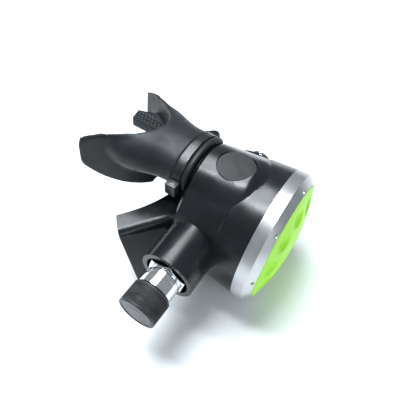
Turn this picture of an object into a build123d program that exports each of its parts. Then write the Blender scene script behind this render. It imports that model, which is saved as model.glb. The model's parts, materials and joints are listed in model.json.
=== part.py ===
from build123d import *
import math
import os

# Second stage (demand valve) of a scuba regulator.
# X runs along the valve: the adjusting knob is at -X and the hose inlet at +X.
# Y runs along the case: the purge cover is at -Y and the mouthpiece at +Y. Z is up.
# The pieces are drawn about the case axis, with Y = 0 where the cover ring meets the
# case, and are written out with the origin at the middle of the hose inlet's thread.

# ---- case -------------------------------------------------------------------------
CASE_R = 37.0                 # outer radius at the cover ring
CASE_DRAFT = 5.6              # degrees, the case narrows towards the rear
CASE_DEPTH = 40.5
CASE_WALL = 2.4
REAR_WALL = 2.2
BAND_DEPTH = 15.2             # the front band stands proud of the rest
BAND_STEP = 0.6
REAR_BEVEL = 1.4
NECK_R = 35.5                 # neck that the cover ring screws onto
NECK_LENGTH = 3.0
MOUTH_R = 32.0

ARCH_DROP = 23.5              # axis of the arched air passage, down from the case's top
ARCH_FRONT_R = 21.6
ARCH_FRONT_Y = 5.5
ARCH_PEAK_R = 24.7
ARCH_PEAK_Y = 14.0
ARCH_REAR_R = 22.6

SPIGOT_Z = 25.3               # oval tube that carries the mouthpiece
SPIGOT_HALF_WIDTH = 15.0
SPIGOT_HALF_HEIGHT = 8.8
SPIGOT_LENGTH = 20.0
SPIGOT_WALL = 1.8

BADGE_R = 9.9
BADGE_Y = 24.2
BADGE_DEPTH = 1.6
BADGE_THICKNESS = 0.8

# ---- cover ring, purge cover and diaphragm ---------------------------------------
RING_R = 37.2
RING_SIDE = 6.2               # length of the ring's cylindrical side
RING_LENGTH = 10.0
RING_LIP_R = 33.0             # opening that shows the purge cover
RING_LIP = 1.3
RING_BORE_R = 34.5
SPANNER_HOLE_COUNT = 8
SPANNER_HOLE_R = 1.1
SPANNER_HOLE_DEPTH = 1.6
SPANNER_CIRCLE_R = 34.9
SPANNER_FIRST_ANGLE = 34.6

COVER_FLANGE = 1.0
COVER_DOME = 5.4
COVER_WALL = 2.4
COVER_BOSS_R = 5.0
COVER_SIDE_GAP = 0.3
SCALLOP_COUNT = 10
SCALLOP_R = 5.5
SCALLOP_DEPTH = 1.6
SCALLOP_CIRCLE_R = 25.0
SCALLOP_FIRST_ANGLE = 19.0
WATER_HOLE_R = 1.4            # in the middle of each scallop

DIAPHRAGM_SHEET = 0.8
WASHER_THICKNESS = 0.6
PLATE_R = 15.0
PLATE_THICKNESS = 0.8
PLATE_HUB_R = 4.0
PLATE_HUB = 0.8
CONTACT_GAP = 0.3             # between pieces that touch only when the cover is pressed
PURGE_WIRE_R = 0.45
PURGE_SPRING_R = 9.0
PURGE_TURNS = 2.5

# ---- valve ------------------------------------------------------------------------
VALVE_Y = 27.4
VALVE_Z = 2.5
KNOB_BOSS_R = 14.35
KNOB_BOSS_END = 52.5          # distance from the case axis, as the other X ends
KNOB_BOSS_COUNTERBORE_R = 11.8
KNOB_BOSS_COUNTERBORE = 6.0
INLET_BOSS_R = 13.4
INLET_BOSS_END = 33.5
INLET_BOSS_START = 25.0       # inside the case, where the boss backs the hexagon
INLET_POCKET_R = 11.6
BARREL_R = 8.4
BARREL_BORE_R = 6.5
FIT = 0.05                    # radial clearance of each turned or sliding fit
ORIFICE_END = 2.0             # the orifice's edge, on the knob side of the case axis
ORIFICE_R = 4.6
ORIFICE_BORE_R = 2.4
ORIFICE_LENGTH = 8.0
INLET_BORE_R = 3.6
INLET_HEX = 19.0
INLET_HEX_LENGTH = 3.0
INLET_THREAD_R = 7.14         # 9/16 inch UNF
INLET_THREAD_LENGTH = 9.0
INLET_RELIEF_R = 6.2
INLET_RELIEF = 1.2
INLET_CHAMFER = 0.6
INLET_WASHER = 0.8

SEAT_R = 3.8
SEAT_THICKNESS = 1.2
POPPET_LENGTH = 22.0
POPPET_STEM_R = 2.0
POPPET_STEM = 9.0
POPPET_SPRING_R = 4.2
POPPET_WIRE_R = 0.5
POPPET_SPRING_LENGTH = 13.0
POPPET_SPRING_TURNS = 6
CARRIAGE_LENGTH = 4.5
CARRIAGE_TRAVEL = 1.0
SPINDLE_R = 3.0
SPINDLE_THREAD_LENGTH = 5.5
SPINDLE_FLANGE_R = 4.6
SPINDLE_FLANGE = 1.6

ADJUSTER_HEX = 19.2
ADJUSTER_HEX_TURN = 42.0      # degrees about the valve axis
ADJUSTER_HEX_LENGTH = 7.0
ADJUSTER_R = 8.8
ADJUSTER_END = 63.0
KNOB_R = 9.86
KNOB_END = 75.5
KNOB_GAP = 0.3
KNOB_CAP_R = 8.0
KNOB_CAP_THICKNESS = 1.0
KNOB_SCREW_HEAD_R = 2.8
KNOB_SCREW_HEAD = 1.6
KNOB_SCREW_R = 1.2
KNOB_SCREW_LENGTH = 6.0
ORING_R = 0.8

# ---- lever ------------------------------------------------------------------------
LEVER_X = 18.0                # hinge, on the knob side of the case axis
LEVER_REACH = 22.0            # hinge to tip, along the valve
LEVER_HINGE_DROP = 2.0        # hinge axis beyond the barrel's surface
LEVER_PIN_R = 0.8
LEVER_HUB_R = 1.9
LEVER_HALF_WIDTH = 2.6
LEVER_SHEET = 1.0
LEVER_FOOT_DEPTH = 4.0        # how deep the foot reaches into the barrel's bore
SLOT_GAP = 0.9
BRACKET_WALL = 1.2
BRACKET_LENGTH = 7.0

# ---- exhaust ----------------------------------------------------------------------
PORT_Z = -14.0
PORT_COLLAR_R = 15.0
PORT_COLLAR_WALL = 1.6
PORT_COLLAR = 3.2
PORT_SPOKE = 1.8
PORT_HUB_R = 3.2
FLAP_LAND = 1.6               # how far the flap laps over the wall round the port
FLAP_THICKNESS = 0.9
FLAP_STEM_R = 1.3
FLAP_TRAVEL = 1.5
TEE_TOP = 4.5
TEE_WALL = 1.8
TEE_EDGE = 5.0
TEE_FRONT_HALF = 24.0         # half width where the tee leaves the case
TEE_WING_X = 48.5             # outermost corner of a wing, at the front
TEE_WING_TOP = 20.0           # that corner at the top, behind the case's rear face
TEE_WING_FOOT = 10.0          # and on the floor
TEE_TIP_X = 40.0              # rear corner of a wing
TEE_TIP = 28.5
TEE_TIP_FOOT = 18.0
TEE_MIDDLE = 13.5

# ---- mouthpiece -------------------------------------------------------------------
NECK_WALL = 2.4
NECK_START = 1.0              # gap between the case and the mouthpiece's end bead
NECK_FLARE = 4.4              # how much wider the neck gets at the flange
NECK_FLARE_LENGTH = 12.0
BEAD_LENGTH = 2.8
BEAD_HEIGHT = 1.2
TIE_GAP = 0.6                 # from the end bead to the tie, in the same groove
TIE_WIDTH = 4.6
TIE_GROOVE_DEPTH = 1.0
TIE_THICKNESS = 1.2
TIE_HEAD = 6.5
TIE_HEAD_HEIGHT = 5.0
FLANGE_DISTANCE = 25.0        # of the flange's middle from the case's rear face
FLANGE_Z = 20.0               # the flange sits below the middle of the tube
FLANGE_HALF_WIDTH = 29.5
FLANGE_HALF_HEIGHT = 17.5
FLANGE_CORNER = 16.0
FLANGE_SWEEP = 35.0
FLANGE_SHEET = 2.2
NOTCH_DEPTH = 4.5
NOTCH_R = 9.0
TAB_INSIDE = 9.5              # bite tabs, by their distance from the middle plane
TAB_OUTSIDE = 17.5
TAB_ROOT = 22.5
TAB_THICKNESS = 6.0
TAB_START = 11.0              # from the flange's middle
TAB_END = 33.5

# ---- places worked out from the sizes --------------------------------------------
SLOPE = math.tan(math.radians(CASE_DRAFT))
FLOOR_Z = -RING_R
ARCH_Z = CASE_R - ARCH_DROP
DIAPHRAGM_FRONT = -NECK_LENGTH - DIAPHRAGM_SHEET
WASHER_FRONT = DIAPHRAGM_FRONT - WASHER_THICKNESS
LIP_BACK = RING_LIP - RING_LENGTH
PLATE_FRONT = -NECK_LENGTH
LEVER_TIP_Y = PLATE_FRONT + PLATE_THICKNESS + PLATE_HUB + CONTACT_GAP
HINGE_Y = VALVE_Y - BARREL_R - LEVER_HINGE_DROP
SEAT_END = ORIFICE_END + SEAT_THICKNESS
POPPET_END = SEAT_END + POPPET_LENGTH
CARRIAGE_START = POPPET_END + POPPET_SPRING_LENGTH
BARREL_END = KNOB_BOSS_END - KNOB_BOSS_COUNTERBORE
INLET_SEAT = INLET_BOSS_END - INLET_HEX_LENGTH - INLET_WASHER
HOSE_END = INLET_BOSS_END + INLET_THREAD_LENGTH
TEE_FRONT_Y = max(VALVE_Y + KNOB_BOSS_R, CASE_DEPTH) + CONTACT_GAP
TEE_WING_Y = CASE_DEPTH + TEE_WING_TOP
TEE_WING_FOOT_Y = CASE_DEPTH + TEE_WING_FOOT
TEE_TIP_Y = CASE_DEPTH + TEE_TIP
TEE_TIP_FOOT_Y = CASE_DEPTH + TEE_TIP_FOOT
TEE_MIDDLE_Y = CASE_DEPTH + TEE_MIDDLE
FLANGE_Y = CASE_DEPTH + FLANGE_DISTANCE
INLET_TUBE_R = BARREL_BORE_R - 0.2
THREAD_START = HOSE_END - INLET_THREAD_LENGTH + INLET_RELIEF
THREAD_MIDDLE = (THREAD_START + HOSE_END - INLET_CHAMFER) / 2
NECK_HALF_WIDTH = SPIGOT_HALF_WIDTH + NECK_WALL
TIE_Y = CASE_DEPTH + NECK_START + BEAD_LENGTH + TIE_GAP
NECK_HALF_HEIGHT = SPIGOT_HALF_HEIGHT + NECK_WALL
FLAP_R = PORT_COLLAR_R - PORT_COLLAR_WALL - 1.0
PORT_R = FLAP_R - FLAP_LAND


def cone_r(y):
    """Outer radius of the plain case at a depth."""
    return CASE_R - SLOPE * y


def turned_y(*points):
    """Solid of revolution about the case axis, from (radius, y) points."""
    return revolve(make_face(Polyline(*points, close=True)), Axis.Y)


def turned_valve(*points):
    """Solid of revolution about the valve axis, from (x, radius) points."""
    solid = revolve(make_face(Polyline(*points, close=True)), Axis.X)
    return Pos(0, VALVE_Y, VALVE_Z) * solid


def valve_tube(start, end, outer, inner=0.0):
    """Tube or rod on the valve axis between two X positions."""
    if inner == 0.0:
        return turned_valve((start, 0), (end, 0), (end, outer), (start, outer))
    return turned_valve((start, inner), (end, inner), (end, outer), (start, outer))


def valve_ring(x, centre_r, wire_r=ORING_R):
    """O-ring about the valve axis."""
    return Pos(x, VALVE_Y, VALVE_Z) * Rot(0, 90, 0) * Torus(centre_r, wire_r)


def valve_hex(start, end, across, turn=0.0):
    """Hexagonal bar on the valve axis."""
    sketch = Rot(0, 0, turn) * RegularPolygon(across / 2, 6, major_radius=False)
    bar = extrude(Plane.YZ * sketch, amount=end - start)
    return Pos(start, VALVE_Y, VALVE_Z) * bar


def along_y(sketch, start, end, x=0.0, z=0.0):
    """Extrude a sketch whose own axes are X and Z, from one Y to another."""
    plane = Plane(origin=(x, end, z), x_dir=(1, 0, 0), z_dir=(0, -1, 0))
    return extrude(plane * sketch, amount=end - start)


def oval_loft(*sections):
    """Solid through ovals, each (y, half width, half height), about the spigot axis."""
    faces = []
    for y, half_width, half_height in sections:
        plane = Plane(origin=(0, y, SPIGOT_Z), x_dir=(1, 0, 0), z_dir=(0, -1, 0))
        faces.append(plane * Ellipse(half_width, half_height))
    return loft(faces)


# ---- case -------------------------------------------------------------------------
def case_outside():
    rear_r = cone_r(CASE_DEPTH) - BAND_STEP
    drum = turned_y(
        (0, -NECK_LENGTH),
        (NECK_R, -NECK_LENGTH),
        (NECK_R, 0),
        (CASE_R, 0),
        (cone_r(BAND_DEPTH), BAND_DEPTH),
        (cone_r(BAND_DEPTH) - BAND_STEP, BAND_DEPTH + BAND_STEP),
        (rear_r, CASE_DEPTH - REAR_BEVEL),
        (rear_r - REAR_BEVEL, CASE_DEPTH),
        (0, CASE_DEPTH),
    )
    arch = turned_y(
        (0, ARCH_FRONT_Y),
        (ARCH_FRONT_R, ARCH_FRONT_Y),
        (ARCH_PEAK_R, ARCH_PEAK_Y),
        (ARCH_REAR_R, CASE_DEPTH - REAR_BEVEL),
        (ARCH_REAR_R - REAR_BEVEL, CASE_DEPTH),
        (0, CASE_DEPTH),
    )
    knob_boss = valve_tube(-KNOB_BOSS_END, -MOUTH_R / 2, KNOB_BOSS_R)
    inlet_boss = valve_tube(MOUTH_R / 2, INLET_BOSS_END, INLET_BOSS_R)
    spigot_end = CASE_DEPTH + SPIGOT_LENGTH
    spigot = oval_loft(
        (CASE_DEPTH - REAR_WALL, SPIGOT_HALF_WIDTH, SPIGOT_HALF_HEIGHT),
        (spigot_end, SPIGOT_HALF_WIDTH, SPIGOT_HALF_HEIGHT),
    )
    collar = along_y(Circle(PORT_COLLAR_R), CASE_DEPTH - REAR_WALL, CASE_DEPTH + PORT_COLLAR, z=PORT_Z)
    return drum + Pos(0, 0, ARCH_Z) * arch + knob_boss + inlet_boss + spigot + collar


def case_inside():
    back = CASE_DEPTH - REAR_WALL
    cavity = turned_y(
        (0, -NECK_LENGTH),
        (MOUTH_R, -NECK_LENGTH),
        (MOUTH_R, 0),
        (cone_r(BAND_DEPTH) - BAND_STEP - CASE_WALL, BAND_DEPTH),
        (cone_r(back) - BAND_STEP - CASE_WALL, back),
        (0, back),
    )
    arch = turned_y(
        (0, ARCH_FRONT_Y),
        (ARCH_FRONT_R - CASE_WALL, ARCH_FRONT_Y),
        (ARCH_PEAK_R - CASE_WALL, ARCH_PEAK_Y),
        (ARCH_REAR_R - CASE_WALL, back),
        (0, back),
    )
    passage = oval_loft(
        (back - REAR_WALL, SPIGOT_HALF_WIDTH - SPIGOT_WALL, SPIGOT_HALF_HEIGHT - SPIGOT_WALL),
        (CASE_DEPTH + SPIGOT_LENGTH, SPIGOT_HALF_WIDTH - SPIGOT_WALL, SPIGOT_HALF_HEIGHT - SPIGOT_WALL),
    )
    collar = along_y(Circle(PORT_COLLAR_R - PORT_COLLAR_WALL), CASE_DEPTH, CASE_DEPTH + PORT_COLLAR, z=PORT_Z)
    room = cavity + Pos(0, 0, ARCH_Z) * arch - valve_tube(INLET_BOSS_START, INLET_BOSS_END, INLET_BOSS_R)
    barrel = valve_tube(-KNOB_BOSS_END, INLET_BOSS_END, BARREL_R + FIT)
    counterbore = valve_tube(-KNOB_BOSS_END, -BARREL_END, KNOB_BOSS_COUNTERBORE_R)
    pocket = valve_tube(INLET_SEAT, HOSE_END, INLET_POCKET_R)
    return room + passage + collar + barrel + counterbore + pocket


def exhaust_port():
    """The holes through the rear wall, left open between the spokes."""
    ring = Circle(PORT_R) - Circle(PORT_HUB_R)
    for turn in (90, 210, 330):
        ring -= Rot(0, 0, turn) * Pos(PORT_R / 2, 0) * Rectangle(PORT_R, PORT_SPOKE)
    hole = along_y(ring, CASE_DEPTH - REAR_WALL, CASE_DEPTH, z=PORT_Z)
    stem = along_y(Circle(FLAP_STEM_R + FIT), CASE_DEPTH - REAR_WALL, CASE_DEPTH, z=PORT_Z)
    return hole + stem


def arch_top(y):
    """Height of the arch's ridge at a depth."""
    share = (y - ARCH_PEAK_Y) / (CASE_DEPTH - REAR_BEVEL - ARCH_PEAK_Y)
    return ARCH_Z + ARCH_PEAK_R + share * (ARCH_REAR_R - ARCH_PEAK_R)


def badge_recess():
    floor = arch_top(BADGE_Y + BADGE_R) - BADGE_DEPTH
    return Pos(0, BADGE_Y, floor) * Cylinder(BADGE_R, CASE_R, align=(Align.CENTER, Align.CENTER, Align.MIN))


def make_case():
    return case_outside() - case_inside() - exhaust_port() - badge_recess()


def make_badge():
    floor = arch_top(BADGE_Y + BADGE_R) - BADGE_DEPTH
    align = (Align.CENTER, Align.CENTER, Align.MIN)
    disc = Pos(0, BADGE_Y, floor) * Cylinder(BADGE_R - FIT, BADGE_THICKNESS, align=align)
    return chamfer(disc.edges().group_by(Axis.Z)[-1], BADGE_THICKNESS / 4)


# ---- cover side -------------------------------------------------------------------
def make_cover_ring():
    ring = turned_y(
        (NECK_R + FIT, 0),
        (RING_R, 0),
        (RING_R, -RING_SIDE),
        (RING_LIP_R + RING_LIP / 2, -RING_LENGTH),
        (RING_LIP_R, -RING_LENGTH + RING_LIP / 2),
        (RING_LIP_R, LIP_BACK),
        (RING_BORE_R, LIP_BACK),
        (RING_BORE_R, WASHER_FRONT),
        (NECK_R + FIT, WASHER_FRONT),
    )
    for number in range(SPANNER_HOLE_COUNT):
        angle = math.radians(SPANNER_FIRST_ANGLE + number * 360 / SPANNER_HOLE_COUNT)
        x = SPANNER_CIRCLE_R * math.cos(angle)
        z = SPANNER_CIRCLE_R * math.sin(angle)
        ring -= along_y(Circle(SPANNER_HOLE_R), -RING_LENGTH, LIP_BACK + SPANNER_HOLE_DEPTH - RING_LIP, x, z)
    return ring


def dome_radius(rise, half_span):
    """Sphere radius of a dome from its rise and half span."""
    return (rise**2 + half_span**2) / (2 * rise)


def make_purge_cover():
    edge_r = RING_LIP_R - COVER_SIDE_GAP
    flange = turned_y(
        (0, LIP_BACK),
        (RING_BORE_R - COVER_SIDE_GAP, LIP_BACK),
        (RING_BORE_R - COVER_SIDE_GAP, LIP_BACK + COVER_FLANGE),
        (0, LIP_BACK + COVER_FLANGE),
    )
    outer_r = dome_radius(COVER_DOME, edge_r)
    dome = Pos(0, outer_r - RING_LENGTH - COVER_DOME, 0) * Sphere(outer_r)
    wall = along_y(Circle(edge_r), -RING_LENGTH - COVER_DOME, LIP_BACK)
    cover = (dome & wall) + flange
    inner_r = edge_r - COVER_WALL
    hollow_r = dome_radius(COVER_DOME, inner_r)
    hollow = Pos(0, hollow_r - RING_LENGTH - COVER_DOME + COVER_WALL, 0) * Sphere(hollow_r)
    hollow &= along_y(Circle(inner_r), -RING_LENGTH - COVER_DOME, LIP_BACK + COVER_FLANGE)
    boss_start = -RING_LENGTH - COVER_DOME + COVER_WALL / 2
    boss = along_y(Circle(COVER_BOSS_R), boss_start, DIAPHRAGM_FRONT - CONTACT_GAP)
    cover = cover - hollow + boss
    for number in range(SCALLOP_COUNT):
        angle = math.radians(SCALLOP_FIRST_ANGLE + number * 360 / SCALLOP_COUNT)
        x = SCALLOP_CIRCLE_R * math.cos(angle)
        z = SCALLOP_CIRCLE_R * math.sin(angle)
        surface = outer_r - RING_LENGTH - COVER_DOME - math.sqrt(outer_r**2 - SCALLOP_CIRCLE_R**2)
        ball_r = dome_radius(SCALLOP_DEPTH, SCALLOP_R)
        cover -= Pos(x, surface + SCALLOP_DEPTH - ball_r, z) * Sphere(ball_r)
        cover -= along_y(Circle(WATER_HOLE_R), -RING_LENGTH - COVER_DOME, LIP_BACK, x, z)
    return cover


def make_purge_spring():
    """Coil between the diaphragm washer's height and the purge cover's inside."""
    start = DIAPHRAGM_FRONT - PURGE_WIRE_R - CONTACT_GAP
    inside = dome_radius(COVER_DOME, RING_LIP_R - COVER_SIDE_GAP - COVER_WALL)
    roof = inside - RING_LENGTH - COVER_DOME + COVER_WALL - math.sqrt(inside**2 - PURGE_SPRING_R**2)
    height = start - roof - 2 * PURGE_WIRE_R
    return coil(PURGE_SPRING_R, PURGE_WIRE_R, height, PURGE_TURNS, (0, start, 0), (0, -1, 0))


def coil(radius, wire_r, height, turns, start, direction):
    """Helical spring from a start point along a direction."""
    path = Helix(height / turns, height, radius)
    section = Plane(path @ 0, z_dir=path % 0) * Circle(wire_r)
    spring = sweep(section, path, is_frenet=True)
    return Plane(origin=start, z_dir=direction) * spring


def make_diaphragm_washer():
    return turned_y(
        (RING_LIP_R, DIAPHRAGM_FRONT),
        (NECK_R - FIT, DIAPHRAGM_FRONT),
        (NECK_R - FIT, WASHER_FRONT),
        (RING_LIP_R, WASHER_FRONT),
    )


def make_diaphragm():
    """Silicone sheet with one rolled fold near its rim."""
    fold_middle = (PLATE_R + MOUTH_R) / 2
    fold_half = (MOUTH_R - PLATE_R) / 4
    back = -NECK_LENGTH
    front = DIAPHRAGM_FRONT
    fold = 2.2
    return turned_y(
        (0, back),
        (fold_middle - fold_half, back),
        (fold_middle, back + fold),
        (fold_middle + fold_half, back),
        (NECK_R - FIT, back),
        (NECK_R - FIT, front),
        (fold_middle + fold_half, front),
        (fold_middle, front + fold),
        (fold_middle - fold_half, front),
        (0, front),
    )


def make_diaphragm_plate():
    hub_end = PLATE_FRONT + PLATE_THICKNESS + PLATE_HUB
    return turned_y(
        (0, PLATE_FRONT),
        (PLATE_R, PLATE_FRONT),
        (PLATE_R, PLATE_FRONT + PLATE_THICKNESS),
        (PLATE_HUB_R * 2.5, PLATE_FRONT + PLATE_THICKNESS),
        (PLATE_HUB_R * 2.5, hub_end),
        (0, hub_end),
    )


# ---- valve ------------------------------------------------------------------------
def make_valve_barrel():
    barrel = valve_tube(-BARREL_END, INLET_SEAT, BARREL_R, BARREL_BORE_R)
    foot_window = Pos(-LEVER_X, VALVE_Y - BARREL_R, VALVE_Z) * Box(5.0, 2 * BARREL_R, 2 * LEVER_HALF_WIDTH + 1.2)
    air_window = Pos(-ORIFICE_END - 4.0, VALVE_Y, VALVE_Z + BARREL_R) * Box(6.0, 7.0, 2 * BARREL_R)
    return barrel - foot_window - air_window


def make_inlet_fitting():
    hex_start = INLET_SEAT + INLET_WASHER
    hex_end = INLET_BOSS_END
    hexagon = valve_hex(hex_start, hex_end, INLET_HEX)
    corner = turned_valve(
        (hex_start, 0),
        (hex_start, INLET_HEX / 2),
        (hex_start + 0.8, INLET_HEX / 2 + 1.4),
        (hex_end - 0.8, INLET_HEX / 2 + 1.4),
        (hex_end, INLET_HEX / 2),
        (hex_end, 0),
    )
    tube_start = ORIFICE_LENGTH - ORIFICE_END - 2.0
    tube = valve_tube(tube_start, hex_start, INLET_TUBE_R)
    stub = turned_valve(
        (hex_end, 0),
        (hex_end, INLET_RELIEF_R),
        (hex_end + INLET_RELIEF, INLET_RELIEF_R),
        (hex_end + INLET_RELIEF, INLET_THREAD_R),
        (HOSE_END - INLET_CHAMFER, INLET_THREAD_R),
        (HOSE_END, INLET_THREAD_R - INLET_CHAMFER),
        (HOSE_END, 0),
    )
    fitting = (hexagon & corner) + tube + stub
    fitting -= valve_tube(tube_start, HOSE_END, INLET_BORE_R)
    return fitting - valve_tube(tube_start, ORIFICE_LENGTH - ORIFICE_END, ORIFICE_R)


def make_inlet_washer():
    return valve_tube(INLET_SEAT, INLET_SEAT + INLET_WASHER, INLET_POCKET_R - 0.6, BARREL_BORE_R + 0.2)


def make_orifice():
    """Brass insert whose edge the seat closes."""
    back = ORIFICE_LENGTH - ORIFICE_END
    return turned_valve(
        (-ORIFICE_END, ORIFICE_BORE_R),
        (back, ORIFICE_BORE_R),
        (back, ORIFICE_R),
        (back - 2.0, ORIFICE_R),
        (0, ORIFICE_R),
        (-ORIFICE_END, ORIFICE_BORE_R + 0.4),
    )


def make_poppet():
    body = valve_tube(-POPPET_END, -SEAT_END, BARREL_BORE_R - FIT)
    stem = valve_tube(-POPPET_END - POPPET_STEM, -POPPET_END, POPPET_STEM_R)
    cup_depth = 0.8
    seat_cup = valve_tube(-SEAT_END - cup_depth, -SEAT_END, SEAT_R)
    slot_depth = LEVER_FOOT_DEPTH + 1.0
    slot_floor = VALVE_Y - BARREL_BORE_R + slot_depth
    slot = Box(LEVER_SHEET + 2 * SLOT_GAP, 2 * slot_depth, 2 * LEVER_HALF_WIDTH + 1.2)
    flat = Box(POPPET_LENGTH, BARREL_BORE_R, 2 * BARREL_BORE_R)
    flat_y = VALVE_Y + BARREL_BORE_R * 1.3
    body -= Pos(-LEVER_X, slot_floor - slot_depth, VALVE_Z) * slot
    body -= Pos(-SEAT_END - POPPET_LENGTH / 2, flat_y, VALVE_Z) * flat
    return body + stem - seat_cup


def make_poppet_seat():
    return valve_tube(-SEAT_END - 0.8, -ORIFICE_END, SEAT_R)


def make_poppet_spring():
    height = POPPET_SPRING_LENGTH - 2 * POPPET_WIRE_R
    start = (-POPPET_END - POPPET_WIRE_R, VALVE_Y, VALVE_Z)
    return coil(POPPET_SPRING_R, POPPET_WIRE_R, height, POPPET_SPRING_TURNS, start, (-1, 0, 0))


def make_spring_carriage():
    end = CARRIAGE_START + CARRIAGE_LENGTH
    carriage = valve_tube(-end, -CARRIAGE_START, BARREL_BORE_R - FIT)
    return carriage - valve_tube(-end, -CARRIAGE_START, SPINDLE_R + FIT)


def make_adjuster_body():
    hex_end = BARREL_END + ADJUSTER_HEX_LENGTH
    hexagon = valve_hex(-hex_end, -BARREL_END, ADJUSTER_HEX, ADJUSTER_HEX_TURN)
    corner = turned_valve(
        (-BARREL_END, 0),
        (-BARREL_END, ADJUSTER_HEX / 2 + 1.4),
        (-hex_end + 0.8, ADJUSTER_HEX / 2 + 1.4),
        (-hex_end, ADJUSTER_HEX / 2),
        (-hex_end, 0),
    )
    sleeve = valve_tube(-ADJUSTER_END, -hex_end, ADJUSTER_R)
    body = (hexagon & corner) + sleeve
    flange_end = BARREL_END + SPINDLE_FLANGE + CONTACT_GAP
    body -= valve_tube(-flange_end, -BARREL_END, SPINDLE_FLANGE_R + FIT)
    body -= valve_tube(-ADJUSTER_END, -BARREL_END, SPINDLE_R + FIT)
    return body - valve_ring(-ADJUSTER_END + 4.0, SPINDLE_R + ORING_R)


def make_adjuster_spindle():
    thread_start = CARRIAGE_START
    flange_start = BARREL_END + CONTACT_GAP / 2
    screw_start = KNOB_END - KNOB_CAP_THICKNESS - KNOB_SCREW_HEAD - 2.0
    spindle = valve_tube(-screw_start, -thread_start, SPINDLE_R)
    spindle += valve_tube(-flange_start - SPINDLE_FLANGE, -flange_start, SPINDLE_FLANGE_R)
    return spindle - valve_tube(-screw_start, -screw_start + KNOB_SCREW_LENGTH, KNOB_SCREW_R)


def make_adjuster_knob():
    start = ADJUSTER_END + KNOB_GAP
    cap_floor = KNOB_END - KNOB_CAP_THICKNESS
    web = cap_floor - KNOB_SCREW_HEAD - 2.0
    knob = turned_valve(
        (-start, 0),
        (-start, KNOB_R - 0.5),
        (-start - 0.5, KNOB_R),
        (-KNOB_END + 0.5, KNOB_R),
        (-KNOB_END, KNOB_R - 0.5),
        (-KNOB_END, 0),
    )
    knob -= valve_tube(-KNOB_END, -cap_floor, KNOB_CAP_R)
    knob -= valve_tube(-cap_floor, -cap_floor + KNOB_SCREW_HEAD, KNOB_SCREW_HEAD_R + 0.3)
    knob -= valve_tube(-cap_floor, -web, KNOB_SCREW_R)
    return knob - valve_tube(-web, -start, SPINDLE_R)


def make_knob_screw():
    top = KNOB_END - KNOB_CAP_THICKNESS
    seat = top - KNOB_SCREW_HEAD
    web = seat - 2.0
    head = valve_tube(-top, -seat, KNOB_SCREW_HEAD_R)
    shank = valve_tube(-seat, -web + KNOB_SCREW_LENGTH, KNOB_SCREW_R)
    return head + shank - Pos(-top, VALVE_Y, VALVE_Z) * Box(1.2, 0.6, 2 * KNOB_SCREW_HEAD_R)


def make_knob_cap():
    cap = valve_tube(-KNOB_END, -KNOB_END + KNOB_CAP_THICKNESS, KNOB_CAP_R)
    return cap


# ---- lever ------------------------------------------------------------------------
def upright_pin(radius, half_length):
    """Rod along Z on the lever's hinge axis."""
    return Pos(-LEVER_X, HINGE_Y, VALVE_Z) * Cylinder(radius, 2 * half_length)


def make_lever_bracket():
    ear_gap = LEVER_HALF_WIDTH + FIT + 0.2
    ear_out = ear_gap + BRACKET_WALL
    ring_r = BARREL_R + BRACKET_WALL
    saddle = valve_tube(-LEVER_X - BRACKET_LENGTH / 2, -LEVER_X + BRACKET_LENGTH / 2, ring_r)
    ear_half = LEVER_PIN_R + 1.4
    ear_block = Box(2 * ear_half, ear_half + LEVER_HINGE_DROP, 2 * ear_out)
    ear_middle = HINGE_Y - ear_half + (ear_half + LEVER_HINGE_DROP) / 2
    bracket = saddle + Pos(-LEVER_X, ear_middle, VALVE_Z) * ear_block
    bracket -= valve_tube(-LEVER_X - BRACKET_LENGTH, -LEVER_X + BRACKET_LENGTH, BARREL_R)
    gap = Box(3 * BRACKET_LENGTH, 4 * ear_half + 2 * BARREL_R, 2 * ear_gap)
    bracket -= Pos(-LEVER_X, VALVE_Y - BARREL_R - 2 * ear_half, VALVE_Z) * gap
    return bracket - upright_pin(LEVER_PIN_R, 2 * ear_out)


def make_lever_pin():
    return upright_pin(LEVER_PIN_R, LEVER_HALF_WIDTH + FIT + 0.2 + BRACKET_WALL)


def make_demand_lever():
    """Bell crank: a foot in the poppet's slot and an arm to the diaphragm plate."""
    half = LEVER_SHEET / 2
    tip_x = -LEVER_X + LEVER_REACH
    elbow = (-LEVER_X + 4.0, HINGE_Y - LEVER_HUB_R - 1.5)
    arm_path = Polyline(
        (-LEVER_X, HINGE_Y),
        elbow,
        (tip_x - 2.0, LEVER_TIP_Y + 1.6),
        (tip_x, LEVER_TIP_Y + half),
    )
    outline = offset(arm_path, half, side=Side.BOTH)
    arm = extrude(make_face(outline), amount=LEVER_HALF_WIDTH, both=True)
    foot_end = VALVE_Y - BARREL_BORE_R + LEVER_FOOT_DEPTH
    foot_length = foot_end - HINGE_Y
    foot = Pos(-LEVER_X, HINGE_Y + foot_length / 2, 0) * Box(LEVER_SHEET, foot_length, 2 * LEVER_HALF_WIDTH)
    lever = Pos(0, 0, VALVE_Z) * (arm + foot) + upright_pin(LEVER_HUB_R, LEVER_HALF_WIDTH)
    return lever - upright_pin(LEVER_PIN_R + FIT, 2 * LEVER_HALF_WIDTH)


# ---- exhaust ----------------------------------------------------------------------
def make_exhaust_valve():
    front = CASE_DEPTH + 0.1
    disc = along_y(Circle(FLAP_R), front, front + FLAP_THICKNESS, z=PORT_Z)
    stem = along_y(Circle(FLAP_STEM_R), CASE_DEPTH - REAR_WALL - 3.0, front, z=PORT_Z)
    bulb_end = CASE_DEPTH - REAR_WALL - FLAP_TRAVEL - 0.2
    bulb = along_y(Circle(FLAP_STEM_R + 0.7), bulb_end - 1.3, bulb_end, z=PORT_Z)
    return disc + stem + bulb


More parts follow.
